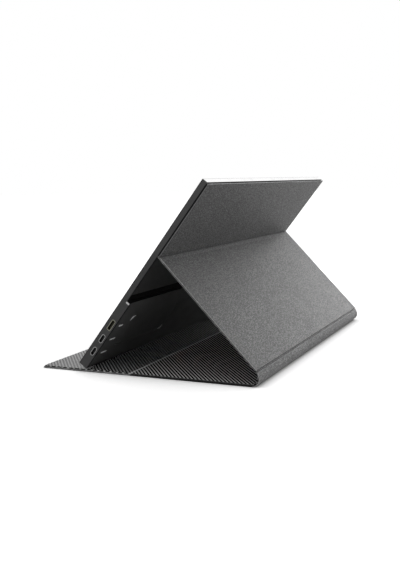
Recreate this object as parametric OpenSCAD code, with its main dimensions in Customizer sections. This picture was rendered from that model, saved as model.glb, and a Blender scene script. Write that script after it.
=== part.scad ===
// Portable monitor standing on its folding cover, in millimetres.
// +Z is up, the screen faces -Y and upwards, and the sockets are on the +X side.
// The origin is on the table, under the middle of the footprint.

/* [Display size] */
// Width of the display
display_w = 362.4; // [300:0.1:420]
// Height of the display along its tilted face
display_h = 226.65; // [205:0.05:260]
// Thickness of the lower half, which holds the electronics
thick_d = 9.55; // [8.5:0.05:14]
// Thickness of the upper half
thin_d = 5.55; // [4.75:0.05:5.3]
// Height of the thick half, up to the shoulder
shoulder_h = 86; // [84:0.5:110]
// Radius of the display's corners
corner_r = 1; // [1:0.5:8]
// Width of the side frame's wall
frame_w = 3; // [2:0.1:3.2]

/* [Screen] */
// Border on each side of the lit area
side_border = 9.1; // [6.5:0.05:12]
// Border above the lit area
top_border = 8; // [7.5:0.1:12]
// Border below the lit area
low_border = 25.05; // [22:0.05:35]
// How far the screen layers run past the lit area
layer_lap = 2.4; // [1:0.1:3]
// Thickness of the front bezel
bezel_t = 0.9; // [0.6:0.05:0.95]
// Thickness of the anti-glare sheet
glare_t = 0.3; // [0.2:0.05:0.35]
// Thickness of the liquid crystal cell
cell_t = 1; // [0.7:0.05:1.05]
// Thickness of the diffuser and prism films
film_t = 0.4; // [0.2:0.05:0.45]
// Thickness of the light guide
guide_t = 0.6; // [0.4:0.05:0.65]
// Thickness of the reflector sheet
reflector_t = 0.2; // [0.1:0.05:0.25]
// Thickness of the steel tray that the cover's magnets hold
tray_t = 0.3; // [0.2:0.05:0.32]
// Gap between two screen layers
layer_gap = 0.05; // [0.02:0.01:0.06]

/* [Back] */
// Thickness of the two back plates
back_t = 0.9; // [0.7:0.05:0.92]
// Gap between a back plate and the frame
plate_gap = 0.1; // [0.05:0.05:0.3]
// Thickness of the wall at the shoulder
shoulder_t = 1.2; // [0.8:0.1:2]
// Width of the recess for the blank label
label_w = 100.8; // [60:0.1:110]
// Height of the recess for the blank label
label_h = 40; // [25:0.5:46]
// Distance of the label from the display's +X side
label_in = 28.95; // [15:0.05:40]
// Height of the label's middle above the display's foot
label_y = 44; // [36:0.5:50]
// Corner radius of the label
label_r = 6; // [2:0.5:8]
// Depth of the label's recess
label_d = 0.3; // [0.15:0.05:0.4]
// Thickness of the blank label
label_t = 0.2; // [0.1:0.05:0.2]

/* [Sockets] */
// Height of the lower small socket above the foot
usb_low_y = 21; // [21:0.1:24]
// Height of the upper small socket above the foot
usb_high_y = 37.7; // [36:0.1:40]
// Height of the wide video socket above the foot
video_y = 55.5; // [54:0.1:58]
// Length of a small socket's shell
usb_l = 8.94; // [8:0.01:10]
// Length of the wide socket's shell
video_l = 11.2; // [10:0.1:12]
// Height of every socket's shell
shell_h = 3.2; // [2.6:0.05:3.25]
// Thickness of a shell's sheet
shell_t = 0.3; // [0.2:0.05:0.4]
// Depth of a socket
socket_d = 8; // [6:0.1:10]
// How far a socket sits back from the frame's face
socket_inset = 0.2; // [0.1:0.05:0.6]
// Gap between a socket and the frame
socket_gap = 0.15; // [0.1:0.05:0.3]
// Height of the headphone socket above the foot
jack_y = 24; // [20:0.5:27]
// Radius of the headphone socket's bore
jack_r = 1.75; // [1.6:0.05:1.8]

/* [Buttons] */
// Height of the power button above the foot
power_y = 68; // [66:0.5:71]
// Length of the power button
power_l = 9; // [6:0.1:9]
// Height of the menu rocker's middle above the foot
rocker_y = 48; // [44:0.5:49]
// Length of the menu rocker
rocker_l = 16; // [12:0.5:18]
// Height of both buttons' caps
cap_h = 2.4; // [1.8:0.1:2.8]
// How far the caps stand out of the frame
cap_out = 0.3; // [0.1:0.05:0.35]
// Gap round a cap in its slot
cap_gap = 0.2; // [0.15:0.05:0.3]
// Width of the lip that keeps a cap in
cap_lip = 0.8; // [0.5:0.1:1]
// Travel of the power button
power_travel = 0.5; // [0.3:0.05:0.6]

/* [Electronics] */
// Thickness of the circuit boards
board_t = 0.8; // [0.6:0.05:0.85]
// Gap under the main board
board_lift = 0.3; // [0.1:0.05:0.4]
// Width of the main board
main_w = 110; // [100:1:112]
// Height of the main board
main_h = 54; // [52:0.5:56]
// Height of the main board's lower edge above the foot
main_y = 16; // [15:0.1:16.4]
// Length of a loudspeaker
speaker_l = 40; // [30:0.5:50]
// Height of a loudspeaker
speaker_h = 10; // [8:0.1:10.5]
// Thickness of a loudspeaker
speaker_d = 3.6; // [2.5:0.1:3.7]
// Distance of a loudspeaker from the display's side
speaker_in = 19.35; // [16:0.05:25]
// Radius of the board screws' heads
screw_head_r = 1.5; // [1.2:0.1:1.8]
// Radius of the board screws' shanks
screw_r = 0.7; // [0.5:0.05:0.9]

/* [Cover] */
// How far the cover runs past the display on each side
cover_over = 0.4; // [0.4:0.05:1]
// Thickness of the cover's outer skin
skin_t = 0.7; // [0.5:0.05:1]
// Thickness of the stiff boards in the cover
stiff_t = 0.8; // [0.5:0.05:1]
// Thickness of the striped lining
lining_t = 0.9; // [0.5:0.05:1]
// Width of the hem that closes the skin round a board
hem_w = 3; // [2:0.1:5]
// Gap between a board and the hem
stiff_gap = 0.15; // [0.1:0.05:0.4]
// How far the lining stays inside the cover's edge
lining_in = 0.5; // [0.2:0.05:1]
// Corner radius of the cover
cover_r = 2; // [2:0.5:10]
// Gap between the display's back and the cover's upper panel
hold_gap = 0.1; // [0.08:0.01:0.3]
// How far the upper panel stays under the display's top edge
top_in = 0.25; // [0.1:0.05:1.5]

/* [Stand] */
// Tilt of the display from the table
tilt = 51.8; // [49:0.1:56]
// Height of the upper crease, along the display's back
crease_h = 142.65; // [136:0.05:150]
// Length of the leg panel between its two creases
leg_l = 138.5; // [134:0.1:146]
// Height of the spine, from the table to its upper crease
spine_h = 14.8; // [13:0.1:16]
// Outer radius of the spine's lower bend
bend_r = 7.5; // [6:0.1:8]
// Forward lean of the spine's upper part
spine_lean = 17; // [12:0.5:20]
// Length of the base's rear panel
rear_l = 125.5; // [115:0.5:135]
// Length of the base's front panel
front_l = 102.3; // [90:0.5:115]
// Gap between the display's foot and the lining
foot_gap = 0.1; // [0.05:0.05:0.3]
// Gap on each side of the upper crease and of the base's seam
crease_gap = 0.3; // [0.2:0.05:0.6]
// Gap on each side of the spine's upper crease
spine_gap = 0.9; // [0.85:0.05:1.4]

/* [Magnets] */
// Length of a bar magnet
magnet_l = 24; // [12:0.5:30]
// Width of a bar magnet in the cover
magnet_w = 5; // [3:0.1:6]
// Gap round a magnet in its board
magnet_gap = 0.1; // [0.05:0.05:0.3]
// Pitch of the magnets along the panel
magnet_pitch = 64; // [45:0.5:72]
// Number of magnets in a row
magnet_n = 5; // [2:1:5]

/* [Hidden] */
$fn = 48;
eps = 0.5;

half_w = display_w / 2;
cover_w = display_w + 2 * cover_over;
step_d = thick_d - thin_d;
rim_t = skin_t + stiff_t;
cover_t = rim_t + lining_t;
label_x = half_w - label_in - label_w / 2;
speaker_x = half_w - speaker_in - speaker_l / 2;

// Heights of the screen layers' rear faces above the display's thick back plane
bezel_z = thick_d - bezel_t;
glare_z = bezel_z - layer_gap - glare_t;
cell_z = glare_z - layer_gap - cell_t;
film_z = cell_z - layer_gap - film_t;
guide_z = film_z - layer_gap - guide_t;
reflector_z = guide_z - layer_gap - reflector_t;
tray_z = reflector_z - layer_gap - tray_t;

// The lit area and the layers behind it
lit_w = display_w - 2 * side_border;
lit_top = display_h - top_border;
lit_low = low_border;
layer_w = lit_w + 2 * layer_lap;
layer_low = lit_low - layer_lap;
layer_top = lit_top + layer_lap;
tray_side = 9;
tray_w = layer_w - 2 * tray_side;

// The room inside the frame and the places of the boards
inner_x = half_w - frame_w;
board_z = back_t + board_lift;
board_top = board_z + board_t;
socket_z = board_top + shell_h / 2;
board_clear = 0.3;
main_x1 = inner_x - board_clear;
main_x0 = main_x1 - main_w;
screw_in = 4;
screw_x = [main_x0 + screw_in, inner_x - socket_d - 3 * board_clear - screw_head_r];
screw_y = [main_y + screw_in, main_y + main_h - screw_in];
screw_gap = 0.1;
screw_head_t = 0.8;
post_r = screw_r + 1.3;

can_w = 50;
can_h = 36;
can_t = 0.2;
can_top = 2.4;
can_x = main_x0 + main_w * 0.55;
can_y = main_y + main_h / 2;
chip_w = 16;
chip_t = 1.2;

cable_w = 18;
cable_t = 0.2;
cable_x = main_x0 + 3 * screw_in;
led_h = 1.6;
led_t = 0.8;
driver_h = 10;
driver_in = 30;
driver_x0 = -layer_w / 2 + driver_in;
driver_x1 = cable_x + cable_w;
driver_gap = 1;
driver_y = layer_low - led_h - driver_h - 2 * driver_gap;
driver_z = reflector_z + layer_gap;
cable_z = tray_z - layer_gap - cable_t;
cable_y = main_y + main_h / 2;

// The buttons, their switches and the board behind them
cap_z = back_t + cap_lip + cap_h / 2 + board_lift;
lip_t = 0.8;
lip_gap = 0.1;
rocker_lip_gap = 0.5;
rocker_lip_x = -inner_x + rocker_lip_gap;
switch_gap = 0.45;
switch_x = -inner_x + lip_gap + lip_t + power_travel + switch_gap;
switch_l = 4;
switch_t = 1.2;
switch_h = 2.4;
button_board_margin = 4;
button_board_low = rocker_y - rocker_l / 2 - button_board_margin;
button_board_top = power_y + power_l / 2 + button_board_margin;

jack_wall = 0.25;
jack_d = 10;
jack_w = 2 * jack_r + 3.5;
jack_z = back_t + board_lift + jack_r + jack_wall;
jack_nose_r = jack_r + 2 * jack_wall;

speaker_y = frame_w + board_clear;
slot_n = 8;
slot_l = 3;
slot_h = 1.2;

bar_t = 1;
bar_h = top_border - layer_lap - frame_w - 3 * plate_gap;

// The side view of the stand: the upper crease, the leg and the spine
base_top = cover_t;
foot_z = base_top + foot_gap;
panel_z = step_d - hold_gap - cover_t;
crease_y = crease_h * cos(tilt) - panel_z * sin(tilt);
crease_z = foot_z + crease_h * sin(tilt) + panel_z * cos(tilt);
leg_angle = asin((crease_z - spine_h) / leg_l);
spine_y = crease_y + leg_l * cos(leg_angle);
tail_l = (spine_h - bend_r - bend_r * sin(spine_lean)) / cos(spine_lean);
bend_y = spine_y - bend_r * cos(spine_lean) + tail_l * sin(spine_lean);
seam_y = bend_y - rear_l;
tip_y = seam_y - front_l;
rear_y = bend_y + bend_r;
mid_y = (tip_y + rear_y) / 2;
fold_angle = -45;
fold_gap_angle = crease_gap / bend_r * 180 / PI;
bend_low = -90;
bend_high = fold_angle - fold_gap_angle;
spine_low = fold_angle + fold_gap_angle;
tail_end = tail_l - spine_gap;
spine_hem = 1;
band_gap = 0.03;
spine_hem_angle = spine_hem / bend_r * 180 / PI;

// The ends of the cover's panels
upper_low = crease_h + crease_gap;
upper_high = display_h - top_in;
upper_mid = (upper_low + upper_high) / 2;
leg_low = spine_gap;
leg_high = leg_l - crease_gap;
rear_low = seam_y + crease_gap;
front_high = seam_y - crease_gap;
foot_y = -thick_d * sin(tilt);
closure_y = tip_y + hem_w + 2 * magnet_w;

echo(mid_y = mid_y, crease = [crease_y - mid_y, crease_z], spine = [spine_y - mid_y, spine_h]);
echo(bend = [bend_y - mid_y, bend_r], seam = seam_y - mid_y, tip = tip_y - mid_y, leg_angle = leg_angle);

// Where each body lies: the table, the tilted display and the leg panel
module on_table() {
    translate([0, -mid_y, 0])
        children();
}

module in_display() {
    on_table()
        translate([0, 0, foot_z])
            rotate([tilt, 0, 0])
                children();
}

module in_leg() {
    on_table()
        translate([0, spine_y, spine_h])
            rotate([180 - leg_angle, 0, 0])
                children();
}

module in_bend() {
    on_table()
        translate([0, bend_y, bend_r])
            rotate([90, 0, 90])
                children();
}

// A block between two corners
module block(low, high) {
    translate(low)
        cube(high - low);
}

// A block centred on x = 0
module slab(w, low_y, high_y, low_z, high_z) {
    block([-w / 2, low_y, low_z], [w / 2, high_y, high_z]);
}

// An outline centred on x = 0, with its own corner radius at each end
module outline(w, low_y, high_y, low_r, high_r) {
    translate([-w / 2, low_y + low_r])
        square([w, high_y - low_y - low_r - high_r]);
    round_end(w, low_y, low_r, 1);
    round_end(w, high_y, high_r, -1);
}

// The strip that closes an outline's end, with its two corners
module round_end(w, end_y, r, way) {
    if (r > 0) {
        translate([0, end_y + way * r / 2])
            square([w - 2 * r, r], center = true);
        for (side = [-1, 1])
            translate([side * (w / 2 - r), end_y + way * r])
                circle(r);
    }
}

module plate(w, low_y, high_y, low_z, high_z, low_r = 0, high_r = 0) {
    translate([0, 0, low_z])
        linear_extrude(high_z - low_z)
            outline(w, low_y, high_y, low_r, high_r);
}

// A slot shape with round ends
module stadium(l, h) {
    square([l - h, h], center = true);
    for (side = [-1, 1])
        translate([side * (l - h) / 2, 0])
            circle(h / 2);
}

// The wide socket's shape, narrower on the board side
module video_shape(l, h) {
    step = h / 3;
    polygon([[-l / 2, h / 2], [l / 2, h / 2], [l / 2, -h / 6], [l / 2 - step, -h / 2],
        [-l / 2 + step, -h / 2], [-l / 2, -h / 6]]);
}

// A shape drawn as height along the display and depth, run along x
module along_x(x0, x1, y, z) {
    translate([x0, y, z])
        rotate([90, 0, 90])
            linear_extrude(x1 - x0)
                children();
}

// One flat panel of the cover: its skin is a shallow tray with a hem
module panel_skin(low_y, high_y, low_r = 0, high_r = 0) {
    difference() {
        plate(cover_w, low_y, high_y, 0, rim_t, low_r, high_r);
        slab(cover_w - 2 * hem_w, low_y + hem_w, high_y - hem_w, skin_t, rim_t + eps);
    }
}

module panel_stiffener(low_y, high_y) {
    in_by = hem_w + stiff_gap;
    slab(cover_w - 2 * in_by, low_y + in_by, high_y - in_by, skin_t, rim_t);
}

module panel_lining(low_y, high_y, low_r = 0, high_r = 0) {
    w = cover_w - 2 * lining_in;
    low = low_r > 0 ? low_y + lining_in : low_y;
    high = high_r > 0 ? high_y - lining_in : high_y;
    plate(w, low, high, rim_t, cover_t, low_r, high_r);
}

// A row of bar magnets, or the pockets for them
module magnet_row(y, grow) {
    for (i = [0:magnet_n - 1])
        translate([(i - (magnet_n - 1) / 2) * magnet_pitch, y, skin_t + stiff_t / 2])
            cube([magnet_l + 2 * grow, magnet_w + 2 * grow, stiff_t + (grow > 0 ? 2 * eps : 0)],
                center = true);
}

// A curved band round the spine's bend, with a straight tail
module band(outer_r, inner_r, low_a, high_a, tail) {
    far = 3 * outer_r;
    intersection() {
        difference() {
            circle(outer_r);
            circle(inner_r);
        }
        polygon([[0, 0], [far * cos(low_a), far * sin(low_a)],
            [far * cos((low_a + high_a) / 2), far * sin((low_a + high_a) / 2)],
            [far * cos(high_a), far * sin(high_a)]]);
    }
    if (tail > 0)
        rotate(high_a)
            translate([inner_r, -0.01])
                square([outer_r - inner_r, tail + 0.01]);
}

module band_along(w) {
    in_bend()
        translate([0, 0, -w / 2])
            linear_extrude(w)
                children();
}

// The frame that runs round the display, deeper along its lower half
module side_frame() {
    color([0.25, 0.25, 0.26])
        in_display()
            difference() {
                union() {
                    plate(display_w, 0, display_h, step_d, bezel_z, corner_r, corner_r);
                    plate(display_w, 0, shoulder_h, 0, step_d + eps, corner_r, 0);
                }
                slab(2 * inner_x, frame_w, display_h - frame_w, -eps, thick_d);
                frame_sockets();
                frame_buttons();
                frame_slots();
            }
}

module frame_sockets() {
    for (y = [usb_low_y, usb_high_y])
        along_x(inner_x - eps, half_w + eps, y, socket_z)
            stadium(usb_l + 2 * socket_gap, shell_h + 2 * socket_gap);
    along_x(inner_x - eps, half_w + eps, video_y, socket_z)
        video_shape(video_l + 2 * socket_gap, shell_h + 2 * socket_gap);
    along_x(-half_w - eps, -inner_x + eps, jack_y, jack_z)
        circle(jack_nose_r + socket_gap);
}

module frame_buttons() {
    along_x(-half_w - eps, -inner_x + eps, power_y, cap_z)
        stadium(power_l + 2 * cap_gap, cap_h + 2 * cap_gap);
    along_x(-half_w - eps, -inner_x + eps, rocker_y, cap_z)
        stadium(rocker_l + 2 * cap_gap, cap_h + 2 * cap_gap);
}

// The loudspeakers' slots through the frame's lower wall
module frame_slots() {
    pitch = speaker_l / slot_n;
    for (side = [-1, 1], i = [0:slot_n - 1])
        translate([side * speaker_x + (i - (slot_n - 1) / 2) * pitch, frame_w / 2, back_t + speaker_d / 2])
            cube([slot_l, frame_w + 2 * eps, slot_h], center = true);
}

module front_bezel() {
    color([0.05, 0.05, 0.05])
        in_display()
            difference() {
                plate(display_w, 0, display_h, bezel_z, thick_d, corner_r, corner_r);
                slab(lit_w, lit_low, lit_top, bezel_z - eps, thick_d + eps);
            }
}

// One flat layer of the screen
module layer(low_z, t) {
    in_display()
        slab(layer_w, layer_low, layer_top, low_z, low_z + t);
}

module antiglare_sheet() {
    color([0.08, 0.08, 0.09])
        layer(glare_z, glare_t);
}

module lcd_cell() {
    color([0.06, 0.07, 0.09])
        layer(cell_z, cell_t);
}

module film_stack() {
    color([0.9, 0.9, 0.92])
        layer(film_z, film_t);
}

module light_guide() {
    color([0.85, 0.92, 0.95])
        layer(guide_z, guide_t);
}

module reflector_sheet() {
    color([0.97, 0.97, 0.97])
        layer(reflector_z, reflector_t);
}

module led_strip() {
    color([0.95, 0.9, 0.6])
        in_display()
            slab(layer_w, layer_low - layer_gap - led_h, layer_low - layer_gap, guide_z, guide_z + led_t);
}

module steel_tray() {
    color([0.7, 0.71, 0.72])
        in_display()
            slab(tray_w, layer_low, layer_top, tray_z, tray_z + tray_t);
}

module upper_back_plate() {
    color([0.08, 0.08, 0.08])
        in_display()
            slab(2 * (inner_x - plate_gap), shoulder_h + plate_gap, display_h - frame_w - plate_gap,
                step_d, step_d + back_t);
}

module lower_back_housing() {
    w = 2 * (inner_x - plate_gap);
    color([0.06, 0.06, 0.06])
        in_display()
            difference() {
                union() {
                    slab(w, frame_w + plate_gap, shoulder_h, 0, back_t);
                    slab(w, shoulder_h - shoulder_t, shoulder_h, 0, step_d + back_t);
                    for (x = screw_x, y = screw_y)
                        translate([x, y, back_t / 2])
                            cylinder(r = post_r, h = board_z - back_t / 2);
                }
                label_solid(label_w, label_h, label_r, -eps, label_d);
                for (x = screw_x, y = screw_y)
                    translate([x, y, label_d + screw_gap])
                        cylinder(r = screw_r + screw_gap / 2, h = board_z);
            }
}

module label_solid(w, h, r, low_z, high_z) {
    translate([label_x, label_y, 0])
        plate(w, -h / 2, h / 2, low_z, high_z, r, r);
}

module blank_label() {
    color([0.1, 0.1, 0.1])
        in_display()
            label_solid(label_w - 2 * plate_gap, label_h - 2 * plate_gap, label_r - plate_gap,
                label_d - label_t, label_d);
}

module main_board() {
    color([0.05, 0.3, 0.15])
        in_display()
            difference() {
                block([main_x0, main_y, board_z], [main_x1, main_y + main_h, board_top]);
                for (x = screw_x, y = screw_y)
                    translate([x, y, board_z - eps])
                        cylinder(r = screw_r + screw_gap, h = board_t + 2 * eps);
            }
}

module scaler_chip() {
    color([0.1, 0.1, 0.1])
        in_display()
            translate([can_x, can_y, board_top + chip_t / 2])
                cube([chip_w, chip_w, chip_t], center = true);
}

module shield_can() {
    color([0.75, 0.75, 0.76])
        in_display()
            translate([can_x, can_y, board_top])
                difference() {
                    slab(can_w, -can_h / 2, can_h / 2, 0, can_top);
                    slab(can_w - 2 * can_t, -can_h / 2 + can_t, can_h / 2 - can_t, -eps, can_top - can_t);
                }
}

// A socket on the +X side: a sheet shell, a rear wall and a contact tongue.
// The first child is the outer shape and the second the inner one.
module socket(y, l) {
    x1 = half_w - socket_inset;
    x0 = x1 - socket_d;
    tongue_t = 0.7;
    difference() {
        along_x(x0, x1, y, socket_z)
            children(0);
        along_x(x0 + 1, x1 + eps, y, socket_z)
            children(1);
    }
    block([x0 + 0.5, y - l / 2 + 1.5, socket_z - tongue_t / 2],
        [x1 - 1.4, y + l / 2 - 1.5, socket_z + tongue_t / 2]);
}

module video_socket() {
    color([0.55, 0.5, 0.35])
        in_display()
            socket(video_y, video_l) {
                video_shape(video_l, shell_h);
                video_shape(video_l - 2 * shell_t, shell_h - 2 * shell_t);
            }
}

module usb_socket(y) {
    color([0.7, 0.7, 0.72])
        in_display()
            socket(y, usb_l) {
                stadium(usb_l, shell_h);
                stadium(usb_l - 2 * shell_t, shell_h - 2 * shell_t);
            }
}

module usb_socket_upper() {
    usb_socket(usb_high_y);
}

module usb_socket_lower() {
    usb_socket(usb_low_y);
}

module headphone_socket() {
    x0 = -half_w + socket_inset;
    color([0.12, 0.12, 0.12])
        in_display()
            difference() {
                union() {
                    along_x(x0, -inner_x + eps, jack_y, jack_z)
                        circle(jack_nose_r);
                    along_x(-inner_x + plate_gap, -inner_x + jack_d, jack_y, jack_z)
                        square([jack_w, 2 * (jack_r + jack_wall)], center = true);
                }
                along_x(x0 - eps, -inner_x + jack_d - 1, jack_y, jack_z)
                    circle(jack_r);
            }
}

module button_board() {
    x0 = switch_x + switch_t;
    color([0.05, 0.3, 0.15])
        in_display()
            block([x0, button_board_low, board_z],
                [x0 + board_t, button_board_top, reflector_z - layer_gap]);
}

module tact_switches() {
    color([0.6, 0.6, 0.6])
        in_display()
            for (y = [power_y, rocker_y - rocker_l / 3, rocker_y + rocker_l / 3])
                translate([switch_x, y - switch_l / 2, cap_z - switch_h / 2])
                    cube([switch_t, switch_l, switch_h]);
}

module speaker(side) {
    cone_r = speaker_h / 2 - 1;
    color([0.15, 0.15, 0.15])
        in_display()
            translate([side * speaker_x, speaker_y, back_t + layer_gap])
                difference() {
                    slab(speaker_l, 0, speaker_h, 0, speaker_d);
                    for (i = [-1, 1])
                        translate([i * speaker_l / 4, speaker_h / 2, speaker_d - 0.6])
                            cylinder(r = cone_r, h = 1);
                }
}

module speaker_left() {
    speaker(-1);
}

module speaker_right() {
    speaker(1);
}

module panel_driver_board() {
    color([0.05, 0.3, 0.15])
        in_display()
            block([driver_x0, driver_y, driver_z], [driver_x1, driver_y + driver_h, driver_z + board_t]);
}

// A flat cable from the main board up to the screen's driver board
module panel_cable() {
    far_y = driver_y + driver_h / 2;
    color([0.75, 0.55, 0.2])
        in_display()
            translate([cable_x, 0, 0]) {
                slab(cable_w, far_y, cable_y, cable_z, cable_z + cable_t);
                slab(cable_w, cable_y - cable_t, cable_y, board_top, cable_z + cable_t);
                slab(cable_w, far_y, far_y + cable_t, cable_z, driver_z);
            }
}

module board_screws() {
    color([0.7, 0.7, 0.7])
        in_display()
            for (x = screw_x, y = screw_y)
                translate([x, y, 0]) {
                    translate([0, 0, board_top])
                        cylinder(r = screw_head_r, h = screw_head_t);
                    translate([0, 0, label_d + 2 * screw_gap])
                        cylinder(r = screw_r, h = board_top - label_d - screw_gap);
                }
}

// Bars above the screen that the front flap's magnets pull on
module bezel_magnets() {
    color([0.55, 0.55, 0.57])
        in_display()
            for (i = [0:magnet_n - 1])
                translate([(i - (magnet_n - 1) / 2) * magnet_pitch,
                    display_h - frame_w - plate_gap - bar_h / 2, bezel_z - layer_gap - bar_t / 2])
                    cube([magnet_l, bar_h, bar_t], center = true);
}

// A cap that reaches through the frame, with a lip inside it
module side_cap(y, l, lip_x) {
    along_x(-half_w - cap_out, lip_x + lip_t / 2, y, cap_z)
        stadium(l, cap_h);
    along_x(lip_x, lip_x + lip_t, y, cap_z)
        stadium(l + 2 * cap_lip, cap_h + 2 * cap_lip);
}

module power_button() {
    color([0.3, 0.3, 0.3])
        in_display()
            side_cap(power_y, power_l, -inner_x + lip_gap);
}

module menu_rocker() {
    color([0.3, 0.3, 0.3])
        in_display()
            side_cap(rocker_y, rocker_l, rocker_lip_x);
}

// The cover's upper panel, which magnets hold on the display's thin back
module in_upper() {
    in_display()
        translate([0, 0, panel_z])
            children();
}

module upper_skin() {
    color([0.33, 0.33, 0.34])
        in_upper()
            panel_skin(upper_low, upper_high, 0, corner_r);
}

module upper_stiffener() {
    color([0.6, 0.58, 0.5])
        in_upper()
            difference() {
                panel_stiffener(upper_low, upper_high);
                magnet_row(upper_mid, magnet_gap);
            }
}

module upper_lining() {
    color([0.1, 0.1, 0.1])
        in_upper()
            panel_lining(upper_low, upper_high, 0, corner_r);
}

module upper_magnets() {
    color([0.55, 0.55, 0.57])
        in_upper()
            magnet_row(upper_mid, 0);
}

// The leg panel, between the spine and the upper crease
module leg_skin() {
    color([0.4, 0.4, 0.41])
        in_leg()
            panel_skin(leg_low, leg_high);
}

module leg_stiffener() {
    color([0.6, 0.58, 0.5])
        in_leg()
            panel_stiffener(leg_low, leg_high);
}

module leg_lining() {
    color([0.1, 0.1, 0.1])
        in_leg()
            panel_lining(leg_low, leg_high);
}

// The spine, which wraps the display's foot when the cover is shut
module spine_skin() {
    color([0.45, 0.45, 0.46])
        difference() {
            band_along(cover_w)
                band(bend_r, bend_r - rim_t, spine_low, spine_lean, tail_end);
            band_along(cover_w - 2 * hem_w)
                band(bend_r - skin_t, bend_r - rim_t - eps, spine_low + spine_hem_angle, spine_lean,
                    tail_end - spine_hem);
        }
}

module spine_stiffener() {
    color([0.6, 0.58, 0.5])
        band_along(cover_w - 2 * (hem_w + stiff_gap))
            band(bend_r - skin_t, bend_r - rim_t + band_gap, spine_low + 2 * spine_hem_angle, spine_lean,
                tail_end - spine_hem - stiff_gap);
}

module spine_lining() {
    color([0.1, 0.1, 0.1])
        band_along(cover_w - 2 * lining_in)
            band(bend_r - rim_t - band_gap, bend_r - cover_t, spine_low, spine_lean, tail_end);
}

// The base's rear panel, which turns up into the first half of the bend
module rear_base_skin() {
    color([0.3, 0.3, 0.31]) {
        on_table()
            panel_skin(rear_low, bend_y + 0.01);
        band_along(cover_w)
            band(bend_r, bend_r - rim_t, bend_low, bend_high, 0);
    }
}

module rear_base_stiffener() {
    color([0.6, 0.58, 0.5])
        on_table()
            panel_stiffener(rear_low, bend_y);
}

module rear_base_lining() {
    color([0.12, 0.12, 0.12]) {
        on_table()
            panel_lining(rear_low, bend_y + 0.01);
        band_along(cover_w - 2 * lining_in)
            band(bend_r - rim_t - band_gap, bend_r - cover_t, bend_low, bend_high, 0);
    }
}

// The base's front panel, which carries the display's foot
module front_base_skin() {
    color([0.3, 0.3, 0.31])
        on_table()
            panel_skin(tip_y, front_high, cover_r, 0);
}

module front_base_stiffener() {
    color([0.6, 0.58, 0.5])
        on_table()
            difference() {
                panel_stiffener(tip_y, front_high);
                magnet_row(foot_y, magnet_gap);
                magnet_row(closure_y, magnet_gap);
            }
}

module front_base_lining() {
    color([0.12, 0.12, 0.12])
        on_table()
            panel_lining(tip_y, front_high, cover_r, 0);
}

module foot_magnets() {
    color([0.55, 0.55, 0.57])
        on_table()
            magnet_row(foot_y, 0);
}

module closure_magnets() {
    color([0.55, 0.55, 0.57])
        on_table()
            magnet_row(closure_y, 0);
}

side_frame();
front_bezel();
antiglare_sheet();
lcd_cell();
film_stack();
light_guide();
reflector_sheet();
led_strip();
steel_tray();
upper_back_plate();
lower_back_housing();
blank_label();
main_board();
scaler_chip();
shield_can();
video_socket();
usb_socket_upper();
usb_socket_lower();
headphone_socket();
button_board();
tact_switches();
speaker_left();
speaker_right();
panel_driver_board();
panel_cable();
board_screws();
bezel_magnets();
power_button();
menu_rocker();
upper_skin();
upper_stiffener();
upper_lining();
upper_magnets();
leg_skin();
leg_stiffener();
leg_lining();
spine_skin();
spine_stiffener();
spine_lining();
rear_base_skin();
rear_base_stiffener();
rear_base_lining();
front_base_skin();
front_base_stiffener();
front_base_lining();
foot_magnets();
closure_magnets();
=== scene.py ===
"""Looks of the portable monitor on its folding cover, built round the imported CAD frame.

Lengths are in millimetres, up to the part on camera, floor and light, which is in metres.
+Z is up, the screen faces -Y and upwards, and the sockets are on the +X side.
"""

import math

import bmesh
import bpy
from mathutils import Matrix, Vector


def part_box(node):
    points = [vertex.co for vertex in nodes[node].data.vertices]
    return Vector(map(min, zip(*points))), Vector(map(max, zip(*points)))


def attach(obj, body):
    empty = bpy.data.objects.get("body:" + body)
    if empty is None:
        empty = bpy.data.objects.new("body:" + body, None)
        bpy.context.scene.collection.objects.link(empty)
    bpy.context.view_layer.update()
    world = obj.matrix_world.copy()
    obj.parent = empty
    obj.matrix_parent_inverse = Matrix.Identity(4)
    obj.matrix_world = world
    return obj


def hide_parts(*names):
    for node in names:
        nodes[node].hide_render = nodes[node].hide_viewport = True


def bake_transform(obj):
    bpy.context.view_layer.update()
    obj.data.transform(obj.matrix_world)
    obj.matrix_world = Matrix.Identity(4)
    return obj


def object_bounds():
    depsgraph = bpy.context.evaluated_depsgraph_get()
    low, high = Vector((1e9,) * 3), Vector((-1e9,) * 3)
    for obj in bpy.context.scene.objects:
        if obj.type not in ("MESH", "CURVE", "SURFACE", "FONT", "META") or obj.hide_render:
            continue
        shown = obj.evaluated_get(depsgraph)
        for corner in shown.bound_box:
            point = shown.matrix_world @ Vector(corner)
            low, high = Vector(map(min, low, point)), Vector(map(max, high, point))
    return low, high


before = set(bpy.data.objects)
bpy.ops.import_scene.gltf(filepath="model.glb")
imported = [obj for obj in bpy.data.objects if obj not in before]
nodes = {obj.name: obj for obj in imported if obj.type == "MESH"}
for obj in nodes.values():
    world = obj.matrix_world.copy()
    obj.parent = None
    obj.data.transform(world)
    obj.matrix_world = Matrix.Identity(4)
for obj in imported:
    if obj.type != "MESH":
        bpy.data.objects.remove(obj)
cad_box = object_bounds()
MM = 0.001


def corners_mm(node):
    low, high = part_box(node)
    return low / MM, high / MM


# The sizes that the frame gives
HALF_W = corners_mm("rear_base_skin")[1].x
TIP_Y = corners_mm("front_base_skin")[0].y
BACK_Y = cad_box[1][1] / MM

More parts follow.
